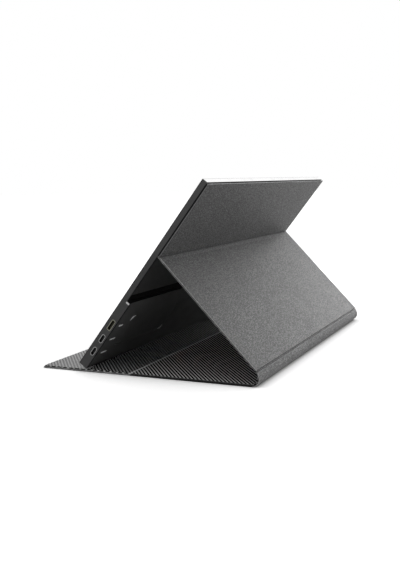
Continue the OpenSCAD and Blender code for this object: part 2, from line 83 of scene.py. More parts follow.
# Sizes of the part's source. _S counts up the display's back from its foot, and _F counts from the
# lower housing's back face towards the screen.
SKIN_T = 0.7
RIM_T = 1.5
COVER_T = 2.4
TILT = math.radians(51.8)
BEND_R = 7.5
BEND_Y = BACK_Y - BEND_R
REAR_BASE_L = 125.5
SEAM_Y = BEND_Y - REAR_BASE_L
SEAM_TO_FOOT = 50.983
FOOT_Y = SEAM_Y - SEAM_TO_FOOT
FOOT_Z = 2.5
PANEL_F = 1.5
CREASE_S = 142.65
UPPER_TOP_S = 226.4
LEG_L = 138.5
SPINE_Y = BEND_Y + 5.611
SPINE_Z = 14.8
SPINE_LEAN = math.radians(17)
DISPLAY_T = 9.55
DISPLAY_H = 226.65
SHOULDER_S = 86.0
THIN_BACK_F = 4.0
COVER_R = 2.0
PANEL_R = 1.5
DISPLAY_HALF_W = HALF_W - 0.4

# The lining: its ribs with their grid lines, and how far in from the cover's edges it ends
RIB_PITCH = 3.1
RIB_LINES = 8
RIB_ANGLE = math.radians(39)
RIB_DEPTH = 0.06
HEM_IN = 0.9
LINING_HALF_W = HALF_W - HEM_IN

UP = (math.cos(TILT), math.sin(TILT))
FRONT = (-math.sin(TILT), math.cos(TILT))
CREASE_Y = FOOT_Y + CREASE_S * UP[0] + PANEL_F * FRONT[0]
CREASE_Z = FOOT_Z + CREASE_S * UP[1] + PANEL_F * FRONT[1]
LEG_ANGLE = math.asin((CREASE_Z - SPINE_Z) / LEG_L)


# Places on the sheets of the cover, each as (x, along, depth below the outer face)
def flat_place(origin, along, outward):
    """A place function for a flat panel, with origin, along and outward given as (y, z)."""
    def place(x, a, d):
        y = origin[0] + a * along[0] - d * outward[0]
        z = origin[1] + a * along[1] - d * outward[1]
        return Vector((x, y, z))
    return place


LEG_ALONG = (-math.cos(LEG_ANGLE), math.sin(LEG_ANGLE))
LEG_OUT = (math.sin(LEG_ANGLE), math.cos(LEG_ANGLE))
UPPER_OUT = (-FRONT[0], -FRONT[1])
base_place = flat_place((0, 0), (1, 0), (0, -1))
leg_place = flat_place((SPINE_Y, SPINE_Z), LEG_ALONG, LEG_OUT)
upper_place = flat_place(
    (FOOT_Y + PANEL_F * FRONT[0], FOOT_Z + PANEL_F * FRONT[1]), UP, UPPER_OUT
)
display_place = flat_place((FOOT_Y, FOOT_Z), UP, UPPER_OUT)


# Mesh helpers
def new_piece(name, points, faces, materials, smooth=40, indices=None):
    """A mesh object from points in millimetres, with edges sharper than smooth degrees kept sharp."""
    mesh = bpy.data.meshes.new(name)
    mesh.from_pydata([tuple(p * MM) for p in points], [], faces)
    if indices:
        mesh.polygons.foreach_set("material_index", indices)
    made = bmesh.new()
    made.from_mesh(mesh)
    bmesh.ops.remove_doubles(made, verts=made.verts, dist=2e-6)
    bmesh.ops.recalc_face_normals(made, faces=made.faces)
    made.to_mesh(mesh)
    made.free()
    mesh.polygons.foreach_set("use_smooth", [True] * len(mesh.polygons))
    mesh.set_sharp_from_angle(angle=math.radians(smooth))
    for material in materials:
        mesh.materials.append(material)
    piece = bpy.data.objects.new(name, mesh)
    bpy.context.scene.collection.objects.link(piece)
    return piece


def ring_faces(rings, n, base=0):
    """Faces of a tube of rings with n points each, closed at both ends, from point number base on."""
    faces = []
    for i in range(rings - 1):
        for k in range(n):
            p, q = base + i * n + k, base + i * n + (k + 1) % n
            faces.append((p, q, q + n, p + n))
    last = base + (rings - 1) * n
    faces.append(tuple(range(base, base + n)))
    faces.append(tuple(range(last, last + n)))
    return faces


def edge_drop(e, reach, height):
    """How far a rounded edge has fallen at distance e from it."""
    if e >= reach:
        return 0.0
    share = 1 - max(e, 0) / reach
    return height * (1 - math.sqrt(max(0.0, 1 - share * share)))


def corner_inset(e, radius):
    """How much narrower a panel with rounded corners is at distance e from its end."""
    if radius <= 0 or e >= radius:
        return 0.0
    return radius - math.sqrt(max(0.0, radius * radius - (radius - e) ** 2))


def lines_between(low, high, steps, start_lines, end_lines):
    """Grid lines: close together near both ends, and evenly spaced between."""
    inner_low = low + start_lines[-1]
    inner_high = high - end_lines[-1]
    count = max(1, round((inner_high - inner_low) / steps))
    middle = [inner_low + (inner_high - inner_low) * k / count for k in range(1, count)]
    ends = [low + e for e in start_lines]
    return ends + middle + [high - e for e in reversed(end_lines)]


# Distances of a panel's grid lines from a free edge and from a fold
EDGE_LINES = [0, 0.03, 0.1, 0.22, 0.4, 0.7, 1.1, 1.5, 1.9, 2.3, 2.9, 3.1]
FOLD_LINES = [0, 0.03, 0.1, 0.2, 0.35, 0.7, 1.6, 2.9, 3.1]


# Numbers of the grid lines where parts of a free edge end, counted from it
WALL_END = 4
INNER_WALL_END = 7
TOP_PRESS_END = 8
PRESS_END = 9
FAR_OFF = 99


def two_grids(rows, columns, open_end=False):
    """Faces of an outer and an inner grid that share their border, and each face's material.

    Most of the side wall takes material 1, its innermost part 2, the pressed line 3, the rest 0.
    With open_end, the last rows are a free edge like the sides, and all its wall takes material 1.
    """
    faces, indices = [], []
    for layer in (0, 1):
        for i in range(rows - 1):
            for k in range(columns - 1):
                p = layer * rows * columns + i * columns + k
                faces.append((p, p + 1, p + columns + 1, p + columns))
                side = min(k, columns - 2 - k)
                top = rows - 2 - i if open_end else FAR_OFF
                if layer == 0:
                    line = WALL_END < side < PRESS_END
                    line = line or (WALL_END < top < TOP_PRESS_END and side > WALL_END)
                    indices.append(1 if min(side, top) < WALL_END else 3 if line else 0)
                else:
                    indices.append(1 if top < INNER_WALL_END else 2 if side < INNER_WALL_END else 0)
    return faces, indices


# The trays of skin: where the rounding starts at a free edge and at a fold, the line pressed along
# the free edges, the groove beside a fold, the soft waves of the face, and the board's recess
HEM_REACH = 0.7
FOLD_REACH = 0.35
PRESS_IN = 1.2
PRESS_HALF = 0.3
PRESS_DEPTH = 0.1
GROOVE_HALF = 0.55
GROOVE_DEPTH = 0.13
WAVE_DEPTH = 0.05
RECESS_DEPTH = SKIN_T + 0.12
SKIN_STEP = 9


def lines_at_end(fold, radius):
    """Distances of the grid lines from an end of a panel, with more where its corners are round."""
    lines = FOLD_LINES if fold else EDGE_LINES
    return sorted(set(lines + [radius * k for k in (0.5, 0.75, 1)])) if radius else lines


def skin_panel(name, place, start, end, materials, start_r, end_r, start_fold, end_fold, grooves):
    """A tray of skin folded round the panel's board: outer face, rounded hem, recess for the board."""
    reach_start = FOLD_REACH if start_fold else HEM_REACH
    reach_end = FOLD_REACH if end_fold else HEM_REACH
    start_lines = lines_at_end(start_fold, start_r)
    end_lines = lines_at_end(end_fold, end_r)
    extra = [end - g + k * 0.45 for g in grooves for k in (-2, -1, 0, 1, 2)]
    along = sorted(set(lines_between(start, end, SKIN_STEP, start_lines, end_lines) + extra))
    across = lines_between(-HALF_W, HALF_W, SKIN_STEP, EDGE_LINES, EDGE_LINES)
    half = RIM_T / 2

    def edges(a, x, width):
        """Distances to the nearer side, the start and the end, and the fall of the rounded edges."""
        side, low, high = width - abs(x), a - start, end - a
        fall = max(
            edge_drop(side, HEM_REACH, half),
            edge_drop(low, reach_start, half),
            edge_drop(high, reach_end, half),
        )
        return side, low, high, fall

    def outer_depth(a, x, width):
        side, low, high, drop = edges(a, x, width)
        for g in grooves:
            off = (end - g - a) / GROOVE_HALF
            drop += GROOVE_DEPTH * math.exp(-off * off)
        free = [side] + ([] if start_fold else [low]) + ([] if end_fold else [high])
        press = (min(free) - PRESS_IN) / PRESS_HALF
        drop += PRESS_DEPTH * math.exp(-press * press)
        inside = min(1.0, max(0.0, min(side, low, high) - 1) / 8)
        wave = math.sin(x * 0.061 + a * 0.023 + 0.7) * math.sin(a * 0.083 - x * 0.017 + 1.9)
        return drop + inside * WAVE_DEPTH * (1 + wave)

    def inner_depth(a, x, width):
        side, low, high, rise = edges(a, x, width)
        return RECESS_DEPTH if min(side, low, high) > 3.0 else RIM_T - rise

    points = []
    for depth in (outer_depth, inner_depth):
        for a in along:
            width = HALF_W - corner_inset(a - start, start_r) - corner_inset(end - a, end_r)
            for x in across:
                # near the sides the lines keep their distance from the edge
                if abs(x) > HALF_W - 8:
                    x = math.copysign(width - (HALF_W - abs(x)), x)
                points.append(place(x, a, depth(a, x, width)))
    faces, indices = two_grids(len(along), len(across), open_end=not end_fold)
    return new_piece(name, points, faces, materials, indices=indices)


def clip_line(polygon, q, across):
    """Where the line across . p = q crosses a convex polygon of (x, a) points.

    Each hit is (x, a, slant), where slant is the sine of the angle between line and edge.
    """
    run = (across[1], -across[0])
    hits = []
    for i, here in enumerate(polygon):
        there = polygon[(i + 1) % len(polygon)]
        q0 = here[0] * across[0] + here[1] * across[1] - q
        q1 = there[0] * across[0] + there[1] * across[1] - q
        if (q0 < 0) != (q1 < 0):
            t = q0 / (q0 - q1)
            edge_x, edge_a = there[0] - here[0], there[1] - here[1]
            length = max(1e-6, math.hypot(edge_x, edge_a))
            slant = abs(run[0] * edge_a - run[1] * edge_x) / length
            hits.append((here[0] + edge_x * t, here[1] + edge_a * t, slant))
    return sorted(hits)


def panel_outline(half_w, start, end, start_r, end_r, steps=6):
    """A rounded rectangle as a convex polygon of (x, a) points."""
    outline = []
    corners = (
        (half_w, end, end_r, 0), (-half_w, end, end_r, 90),
        (-half_w, start, start_r, 180), (half_w, start, start_r, 270),
    )
    for cx, ca, radius, turn in corners:
        if radius <= 0:
            outline.append((cx, ca))
            continue
        mx = cx - math.copysign(radius, cx)
        ma = ca - radius if ca == end else ca + radius
        for k in range(steps + 1):
            angle = math.radians(turn + 90 * k / steps)
            outline.append((mx + radius * math.cos(angle), ma + radius * math.sin(angle)))
    return outline


def rib_height(q):
    """Depth of the lining below its ribs at phase q, in rib pitches."""
    return RIB_DEPTH * (0.5 - 0.5 * math.cos(2 * math.pi * q)) ** 1.5


# The border of a lining: distance in from its edge, and depth above the rim
BORDER = ((0, RIM_T), (0, COVER_T - 0.34), (0.09, COVER_T - 0.1), (0.3, COVER_T - 0.02),
          (0.5, COVER_T), (1.5, COVER_T - 0.02))
RIB_FADE = 2.1


def ribbed_lining(name, place, start, end, materials, start_r, end_r):
    """The lining of a flat panel, with a flat border and its diagonal ribs as real relief."""
    outline = panel_outline(LINING_HALF_W, start, end, start_r, end_r)
    across = (-math.sin(RIB_ANGLE), math.cos(RIB_ANGLE))
    values = [p[0] * across[0] + p[1] * across[1] for p in outline]
    step = RIB_PITCH / RIB_LINES
    first = math.floor(min(values) / step) + 1
    last = math.ceil(max(values) / step) - 1
    points, indices, ends = [], [], []
    sections = 0
    for k in range(first, last + 1):
        hits = clip_line(outline, k * step + 1e-4, across)
        if len(hits) < 2:
            continue
        low, high = hits[0], hits[-1]
        length = math.hypot(high[0] - low[0], high[1] - low[1])
        top = COVER_T - rib_height(k / RIB_LINES)
        for near, far, slant, order in ((low, high, low[2], 1), (high, low, high[2], -1)):
            side = []
            for inset, depth in BORDER + ((RIB_FADE, top),):
                t = min(inset / max(slant, 0.2), length * 0.49) / max(length, 1e-6)
                if length * 0.49 < 3:
                    depth = min(depth, COVER_T - 0.05)
                x = near[0] + (far[0] - near[0]) * t
                a = near[1] + (far[1] - near[1]) * t
                side.append(place(x, a, depth))
            points += side if order == 1 else side[::-1]
            ends.append(end - near[1] < 0.2)
        sections += 1
    n = 2 * (len(BORDER) + 1)
    for i in range(sections - 1):
        for k in range(n):
            at_end = ends[2 * i + (0 if k < n // 2 else 1)]
            border = k in (0, 1, n - 3, n - 2)
            indices.append((2 if at_end else 1) if border else 0)
    faces = ring_faces(sections, n)
    return new_piece(name, points, faces, materials, smooth=50, indices=indices + [1, 1])


STITCH_L = 5.0
STITCH_GAP = 2.1
STITCH_SIDES = 6
# A stitch's rings: how far along it, and the share of its thickness there
STITCH_RINGS = (
    (0, 0.25), (0.35, 0.85), (STITCH_L / 2, 1.0), (STITCH_L - 0.35, 0.85), (STITCH_L, 0.25),
)


def stitch_row(points, faces, place, begin, finish, centre, wide, tall):
    """Adds long stitches from begin to finish, which are (x, a), to a mesh being built."""
    run = (finish[0] - begin[0], finish[1] - begin[1])
    total = math.hypot(*run)
    unit = (run[0] / total, run[1] / total)
    side = (-unit[1], unit[0])
    pitch = STITCH_L + STITCH_GAP
    count = int((total + STITCH_GAP) / pitch)
    margin = (total - count * pitch + STITCH_GAP) / 2
    for n in range(count):
        first = margin + n * pitch
        faces.extend(ring_faces(len(STITCH_RINGS), STITCH_SIDES, len(points)))
        for t, share in STITCH_RINGS:
            x = begin[0] + unit[0] * (first + t)
            a = begin[1] + unit[1] * (first + t)
            for k in range(STITCH_SIDES):
                turn = math.radians(360 * k / STITCH_SIDES)
                reach = math.cos(turn) * wide * share
                depth = centre + tall * share * math.sin(turn)
                points.append(place(x + side[0] * reach, a + side[1] * reach, depth))


# Paths of sheets, as stations of (y, z, angle of the outer face's normal)
def turn_path(corner, flat, normal_before, normal_after, turns):
    """Round a corner: flat for so many mm, turning on the corner, flat for as many mm again.

    corner is (y, z), and the normals are angles in degrees of the outer face before and after.
    """
    stations = []
    low, high = math.radians(normal_before), math.radians(normal_after)
    for k in range(3):
        back = flat * (1 - k / 3)
        stations.append((corner[0] + back * math.sin(low), corner[1] - back * math.cos(low), low))
    for k in range(turns + 1):
        stations.append((corner[0], corner[1], low + (high - low) * k / turns))
    for k in range(1, 4):
        ahead = flat * k / 3
        stations.append((corner[0] - ahead * math.sin(high), corner[1] + ahead * math.cos(high), high))
    return stations


def on_bend(angle):
    """The point (y, z) at an angle on the spine's round outer face."""
    return BEND_Y + BEND_R * math.cos(angle), BEND_R + BEND_R * math.sin(angle)


def bend_path(tail, turns=22):
    """Round the spine's bend from the table up to its lean, then straight on for tail mm."""
    stations = []
    quarter = math.radians(90)
    for k in range(turns + 1):
        angle = -quarter + (SPINE_LEAN + quarter) * k / turns
        stations.append((*on_bend(angle), angle))
    y, z, angle = stations[-1]
    for k in range(1, 6):
        ahead = tail * k / 5
        stations.append((y - ahead * math.sin(angle), z + ahead * math.cos(angle), angle))
    return stations


def flat_path(middle, half, steps):
    """Along the base's underside, from half mm before middle to half mm after it."""
    down = math.radians(-90)
    return [(middle + half * (k / steps - 1), 0, down) for k in range(2 * steps + 1)]


def path_strip(name, stations, outer, inner, materials, half_w=HALF_W, side_r=0.4, step=12.0,
               ribs=False):
    """A strip of sheet along a path, between depths outer and inner."""
    side_lines = [side_r * share for share in (0, 0.08, 0.3, 0.6, 1)]
    across = lines_between(-half_w, half_w, step, side_lines, side_lines)
    half = (inner - outer) / 2
    middle = (outer + inner) / 2
    reach = [0.0]
    for (y0, z0, n0), (y1, z1, n1) in zip(stations, stations[1:]):
        reach.append(reach[-1] + math.hypot(
            y1 - middle * math.cos(n1) - y0 + middle * math.cos(n0),
            z1 - middle * math.sin(n1) - z0 + middle * math.sin(n0),
        ))
    points = []
    for depth, sign in ((outer, 1), (inner, -1)):
        for (y, z, normal), run in zip(stations, reach):
            for x in across:
                here = depth + sign * edge_drop(half_w - abs(x), side_r, half)
                if ribs and sign < 0 and abs(x) < half_w - side_r * 0.6:
                    q = -x * math.sin(RIB_ANGLE) + run * math.cos(RIB_ANGLE)
                    here -= rib_height(q / RIB_PITCH)
                if run in (0.0, reach[-1]):
                    here = middle
                points.append(Vector((x, y - here * math.cos(normal), z - here * math.sin(normal))))
    faces, indices = two_grids(len(stations), len(across))
    if len(materials) == 1:
        indices = None
    return new_piece(name, points, faces, materials, indices=indices)


# Material helpers
def math_node(tree, operation, a, b, clamp=False):
    """A math node on a and b, which are numbers or sockets."""
    node = tree.nodes.new("ShaderNodeMath")
    node.operation = operation
    node.use_clamp = clamp
    for value, target in zip((a, b), node.inputs):
        if isinstance(value, (int, float)):
            target.default_value = value
        else:
            tree.links.new(value, target)
    return node.outputs[0]


def map_node(tree, source, low, high):
    """Maps 0..1 of the source to low..high on a straight line."""
    node = tree.nodes.new("ShaderNodeMapRange")
    node.inputs["To Min"].default_value = low
    node.inputs["To Max"].default_value = high
    tree.links.new(source, node.inputs["Value"])
    return node.outputs["Result"]


class Nodes:
    """A short way to write a material's nodes."""

    def __init__(self, name, colour, roughness, metallic=0.0):
        self.material = bpy.data.materials.new(name)
        self.material.use_nodes = True
        self.tree = self.material.node_tree
        self.shader = self.tree.nodes["Principled BSDF"]
        self.shader.inputs["Base Color"].default_value = (*colour, 1)
        self.shader.inputs["Roughness"].default_value = roughness
        self.shader.inputs["Metallic"].default_value = metallic
        self.place = self.tree.nodes.new("ShaderNodeTexCoord").outputs["Object"]

    def set(self, name, value):
        self.shader.inputs[name].default_value = value

    def link(self, source, target):
        self.tree.links.new(source, target)

    def to_shader(self, source, name):
        self.link(source, self.shader.inputs[name])

    def noise(self, size, detail=3.0, stretch=(1, 1, 1)):
        """Noise whose features are about size millimetres across."""
        scale = self.tree.nodes.new("ShaderNodeVectorMath")
        scale.operation = "MULTIPLY"
        scale.inputs[1].default_value = tuple(s / (size * MM) for s in stretch)
        self.link(self.place, scale.inputs[0])
        node = self.tree.nodes.new("ShaderNodeTexNoise")
        node.inputs["Scale"].default_value = 1.0
        node.inputs["Detail"].default_value = detail
        node.inputs["Roughness"].default_value = 0.55
        self.link(scale.outputs[0], node.inputs["Vector"])
        return node.outputs["Fac"]

    def cells(self, size):
        """Cells about size millimetres across."""
        node = self.tree.nodes.new("ShaderNodeTexVoronoi")
        node.inputs["Scale"].default_value = 1 / (size * MM)
        self.link(self.place, node.inputs["Vector"])
        return node.outputs["Distance"]

    def math(self, operation, a, b=0.5, clamp=False):
        return math_node(self.tree, operation, a, b, clamp)

    def along(self, direction, period):
        """Distance along a direction, counted in periods of so many millimetres."""
        node = self.tree.nodes.new("ShaderNodeVectorMath")
        node.operation = "DOT_PRODUCT"
        node.inputs[1].default_value = tuple(c / (period * MM) for c in direction)
        self.link(self.place, node.inputs[0])
        return node.outputs["Value"]

    def ramp(self, source, low, high, low_value=0.0, high_value=1.0):
        """Maps low..high of the source smoothly to low_value..high_value."""
        node = self.tree.nodes.new("ShaderNodeMapRange")
        node.interpolation_type = "SMOOTHSTEP"
        node.inputs["From Min"].default_value = low
        node.inputs["From Max"].default_value = high
        node.inputs["To Min"].default_value = low_value
        node.inputs["To Max"].default_value = high_value
        self.link(source, node.inputs["Value"])
        return node.outputs["Result"]

    def mix(self, factor, a, b):
        """Colour between a and b, which are colours or sockets."""
        node = self.tree.nodes.new("ShaderNodeMix")
        node.data_type = "RGBA"
        self.link(factor, node.inputs[0])
        for value, target in ((a, node.inputs[6]), (b, node.inputs[7])):
            if isinstance(value, tuple):
                target.default_value = (*value, 1)
            else:
                self.link(value, target)
        return node.outputs[2]

    def bump(self, height, depth, strength):
        """Relief of depth millimetres."""
        node = self.tree.nodes.new("ShaderNodeBump")
        node.inputs["Strength"].default_value = strength
        node.inputs["Distance"].default_value = depth * MM
        self.link(height, node.inputs["Height"])
        self.to_shader(node.outputs["Normal"], "Normal")


def grey(level, warm=0.0):
    """A grey from an sRGB level of 0 to 255, in linear light."""
    value = level / 255
    linear = value / 12.92 if value <= 0.04045 else ((value + 0.055) / 1.055) ** 2.4
    return (linear * (1 + warm), linear, linear * (1 - warm))


def dim(colour, share):
    return tuple(c * share for c in colour)


def leather(name, level, contrast=1.0):
    """Grained grey leatherette: pebbles of two sizes with their creases painted darker as painted
    shade, and broad soft patches.
    """
    m = Nodes(name, grey(level), 0.5)
    m.set("Specular IOR Level", 0.5)
    pebbles = m.ramp(m.cells(1.5), 0.08, 0.8, 1.0, 0.0)
    small = m.ramp(m.cells(0.8), 0.1, 0.8, 1.0, 0.0)
    mottle = m.noise(1.7, 2)
    patches = m.noise(38, 2)
    grain = m.math("ADD", m.math("MULTIPLY", pebbles, 0.65), m.math("MULTIPLY", small, 0.35))
    tone = m.math("ADD", m.math("MULTIPLY", grain, 0.5), m.math("MULTIPLY", mottle, 0.5))
    tone = m.math("ADD", m.math("MULTIPLY", tone, 0.88), m.math("MULTIPLY", patches, 0.12))
    low = dim(grey(level), 1 - 0.55 * contrast)
    high = dim(grey(level), 1 + 0.6 * contrast)
    # The creases between the pebbles are painted darker, which is painted shade in the grain; the
    # mottle and the patches are random tone
    m.to_shader(m.mix(m.ramp(tone, 0.34, 0.74), low, high), "Base Color")
    m.to_shader(m.ramp(grain, 0.2, 0.8, 0.56, 0.4), "Roughness")
    m.bump(grain, 0.12, 0.9)
    return m.material


def ribbed_cloth(name, along, level_low=5, level_high=164, shine=0.09, rib_from=0.45,
                 roughness=0.18):
    """Woven lining: dark grooves and lighter ribs on the diagonal, with a fine cross weave."""
    m = Nodes(name, grey(level_high), roughness)
    m.set("Specular IOR Level", shine)
    across = (-math.sin(RIB_ANGLE), math.cos(RIB_ANGLE) * along[0], math.cos(RIB_ANGLE) * along[1])
    run = (math.cos(RIB_ANGLE), math.sin(RIB_ANGLE) * along[0], math.sin(RIB_ANGLE) * along[1])
    phase = m.math("MULTIPLY", m.along(across, RIB_PITCH), 2 * math.pi)
    wave = m.math("MULTIPLY", m.math("ADD", m.math("COSINE", phase), 1.0), 0.5)
    rib = m.ramp(wave, rib_from, rib_from + 0.17)
    threads = m.math("MULTIPLY", m.along(run, 0.5), 2 * math.pi)
    thread = m.math("MULTIPLY", m.math("ADD", m.math("SINE", threads), 1.0), 0.5)
    fuzz = m.noise(0.6, 3)
    tone = m.math("MULTIPLY", rib, m.ramp(fuzz, 0.25, 0.75, 0.86, 1.06), clamp=True)
    tone = m.math("MULTIPLY", tone, m.ramp(thread, 0, 1, 0.82, 1.0))
    m.to_shader(m.mix(tone, grey(level_low), grey(level_high)), "Base Color")
    m.to_shader(m.ramp(fuzz, 0.3, 0.7, roughness, roughness + 0.06), "Roughness")
    m.bump(m.math("ADD", m.math("MULTIPLY", thread, 0.5), fuzz), 0.01, 0.4)
    return m.material


def edge_paint(name, level):
    """A slightly uneven matt grey at the given level, for the cover's edges and stitches; its levels on
    the cover's walls and borders are painted light and shade.
    """
    m = Nodes(name, grey(level), 0.6)
    m.set("Specular IOR Level", 0.2)
    worn = m.noise(4, 4)
    m.to_shader(m.mix(m.ramp(worn, 0.35, 0.8), grey(level), grey(level * 1.5)), "Base Color")
    m.bump(m.noise(0.7, 3), 0.06, 0.6)
    return m.material


def coated_metal(name, level, roughness, metallic, grain=0.35, tint=(1, 1, 1)):
    """Blasted and coated metal with a fine even grain and faint wear."""
    base = tuple(c * t for c, t in zip(grey(level), tint))
    m = Nodes(name, base, roughness, metallic)
    fine = m.noise(grain, 2)
    broad = m.noise(24, 3)
    tone = m.math("ADD", m.math("MULTIPLY", fine, 0.5), m.math("MULTIPLY", broad, 0.5))
    colour = m.mix(m.ramp(tone, 0.35, 0.65), dim(base, 0.88), dim(base, 1.14))
    m.to_shader(colour, "Base Color")
    m.to_shader(m.ramp(broad, 0.3, 0.7, roughness - 0.04, roughness + 0.05), "Roughness")
    m.bump(fine, 0.02, 0.6)
    return m.material


def moulded(name, level, roughness=0.5, grain=0.5, warm=0.0):
    """Moulded plastic with spark-eroded grain."""
    m = Nodes(name, grey(level, warm), roughness)
    fine = m.cells(grain)
    broad = m.noise(18, 3)
    low = dim(grey(level, warm), 0.85)
    high = dim(grey(level, warm), 1.2)
    m.to_shader(m.mix(m.ramp(broad, 0.3, 0.7), low, high), "Base Color")
    m.to_shader(m.ramp(fine, 0, 0.7, roughness + 0.06, roughness - 0.05), "Roughness")
    m.bump(fine, 0.03, 0.6)
    return m.material


def screen_face(name):
    """The switched-off screen: near black with a fine anti-glare grain."""
    m = Nodes(name, grey(12), 0.3)
    m.set("Coat Weight", 0.25)
    m.set("Coat Roughness", 0.22)
    sparkle = m.noise(0.25, 2)
    cloud = m.noise(60, 2)
    m.to_shader(m.mix(cloud, grey(9), grey(16)), "Base Color")
    m.to_shader(m.ramp(sparkle, 0.3, 0.7, 0.26, 0.36), "Roughness")
    m.bump(sparkle, 0.01, 0.5)
    return m.material


def film(name, level):
    """The milky films and light guide behind the screen."""
    m = Nodes(name, grey(level), 0.35)
    m.set("Coat Weight", 0.2)
    m.to_shader(m.mix(m.noise(30, 2), dim(grey(level), 0.92), grey(level)), "Base Color")
    m.bump(m.cells(0.4), 0.01, 0.4)
    return m.material


def plated(name, colour, roughness):
    """Drawn and plated sheet metal with faint lines of drawing."""
    m = Nodes(name, colour, roughness, 1.0)
    lines = m.noise(0.3, 2, stretch=(0.15, 1, 1))
    m.to_shader(m.mix(m.ramp(lines, 0.3, 0.7), dim(colour, 0.8), colour), "Base Color")
    m.to_shader(m.ramp(lines, 0.3, 0.7, roughness - 0.05, roughness + 0.1), "Roughness")
    m.bump(lines, 0.01, 0.5)
    return m.material


def board_green(name):
    """Circuit board with solder resist over faint tracks."""
    m = Nodes(name, (0.01, 0.06, 0.03), 0.35)
    tracks = m.ramp(m.cells(1.6), 0.3, 0.5)
    m.to_shader(m.mix(tracks, (0.006, 0.035, 0.02), (0.015, 0.09, 0.045)), "Base Color")
    m.bump(tracks, 0.02, 0.6)
    return m.material


# One direction (y, z) that stands in for the round of the spine
BEND_ALONG = (0.405, 0.914)

skin = leather("cover_leather", 84, 1.1)
# Lighter copies of the cover leather for the outer side walls of the leg, the spine and the upper
# panel: painted highlight where the walls catch light
rim = leather("cover_rim_painted_highlight", 150, 0.4)
panel_rim = leather("upper_rim_painted_highlight", 118, 0.4)
# A lighter copy of the cover leather for the spine: painted light where the spine faces the light
spine_leather_painted_light = leather("spine_leather_painted_light", 121, 1.0)
# Darker leather along the pressed lines and in the crease between the leg and the upper panel: painted
# shade, over the real groove
pressed = leather("pressed_line_painted_shade", 58, 0.5)
# Black for the rear base's side walls and the inner walls of the leg, the spine and the upper panel:
# painted shade where they lie in shadow; the display's shoulder band and foot strip take it too
edge = edge_paint("black_edge_and_painted_shade", 8)
# Greys for the lining borders and the flap's walls, set by the light each gets: painted highlight on
# the leg's lining border, on the flap's walls and border, and on the upper lining's top; painted shade
# on the rear base's lining border and on the upper lining's sides
cut_edge = edge_paint("leg_lining_edge_painted_light", 118)
base_edge = edge_paint("rear_lining_edge_painted_shade", 62)
flap_edge = edge_paint("flap_wall_painted_light", 100)
flap_border = edge_paint("flap_border_painted_light", 160)
dark_edge = edge_paint("upper_lining_side_painted_shade", 6)
light_edge = edge_paint("upper_lining_top_painted_highlight", 130)
base_lining = ribbed_cloth("base_lining_cloth", (1, 0))
# The rear base's lining: a copy of the lining cloth with brighter ribs, painted light where it lies in
# the display's shade
inner_lining = ribbed_cloth("rear_base_lining_painted_light", (1, 0), 2, 212, 0.0, 0.55)
leg_lining = ribbed_cloth("leg_lining_cloth", LEG_ALONG, roughness=0.6)
upper_lining = ribbed_cloth("upper_lining_cloth", UP, roughness=0.6)
bend_lining = ribbed_cloth("bend_lining_cloth", BEND_ALONG, roughness=0.6)
seam_cloth = ribbed_cloth("seam_cloth", (1, 0), 200, 245)
thread = edge_paint("stitch_thread", 14)
frame_metal = coated_metal("frame_metal", 73, 0.42, 0.85)
back_black = coated_metal("back_black", 62, 0.34, 0.0, 0.5)
# A lighter copy of the black back for the lower housing: painted light
back_low_painted_light = coated_metal("back_low_painted_light", 84, 0.34, 0.0, 0.5)
bezel_black = moulded("bezel_black", 14, 0.45)
chip_black = moulded("chip_black", 20, 0.5)
chamfer = coated_metal("bright_chamfer", 190, 0.3, 0.9)
olive = coated_metal("olive_chamfer", 168, 0.32, 0.9, tint=(1.0, 1.0, 0.8))
ink = moulded("socket_mark_ink", 250, 0.55, 0.4)
label_glint_white = moulded("label_corner_painted_glint", 245, 0.4, 0.4)
# Near-white facets at the side frame's step: painted glint
bright = coated_metal("shoulder_painted_glint", 222, 0.3, 0.0)
# Near-white polished metal for the display's top edge: painted highlight
top_highlight = coated_metal("top_painted_highlight", 252, 0.15, 1.0)
gold = plated("socket_gold", (0.06, 0.056, 0.04), 0.4)
nickel = plated("socket_nickel", (0.05, 0.05, 0.05), 0.4)
steel = plated("steel_sheet", (0.42, 0.43, 0.44), 0.3)
magnet_nickel = plated("magnet_nickel", (0.5, 0.5, 0.5), 0.25)
glass = screen_face("screen_face")
white_film = film("white_film", 205)
board = board_green("circuit_board")
flat_cable = moulded("flat_cable", 150, 0.4, 0.6, 0.25)
cover_board = moulded("cover_board", 120, 0.8, 1.2, 0.12)

SLOT_MATERIALS = {
    "frame_metal": frame_metal,
    "bezel_black": bezel_black,
    "back_black": back_black,
    "screen_glass": glass,
    "screen_film": white_film,
    "steel": steel,
    "circuit_board": board,
    "chip_black": chip_black,
    "socket_gold": gold,
    "socket_nickel": nickel,
    "flat_cable": flat_cable,
    "magnet": magnet_nickel,
    "cover_skin": skin,
    "cover_board": cover_board,
    "cover_lining": base_lining,
}

# The bevel of each carried-over CAD node, in millimetres
BEVELS = {
    "side_frame": 0.35,
    "front_bezel": 0.15,
    "antiglare_sheet": 0.05,
    "upper_back_plate": 0.2,
    "lower_back_housing": 0.3,
    "power_button": 0.15,
    "menu_rocker": 0.15,
    "video_socket": 0.08,
    "usb_socket_upper": 0.08,
    "usb_socket_lower": 0.08,
    "headphone_socket": 0.08,
}

# The nodes that take a lighter copy of the black back, painted light on the lower housing in the
# cover's shade
LOW_NODES = ("lower_back_housing", "blank_label")


def dress_nodes():
    """Gives every carried-over CAD node its material, welded points and softened edges."""
    for name, node in nodes.items():
        holder = node.material_slots[0]
        slot = holder.name.split(".")[0]
        holder.material = back_low_painted_light if name in LOW_NODES else SLOT_MATERIALS[slot]
        weld = node.modifiers.new("weld", "WELD")
        weld.merge_threshold = 1e-6
        width = BEVELS.get(name, 0.06)
        bevel = node.modifiers.new("bevel", "BEVEL")
        bevel.width = width * MM
        bevel.segments = 3 if name in BEVELS else 2
        bevel.limit_method = "ANGLE"
        bevel.angle_limit = math.radians(35)
        bevel.use_clamp_overlap = True
        bevel.harden_normals = False


dress_nodes()


FOLD_GAP = 0.3


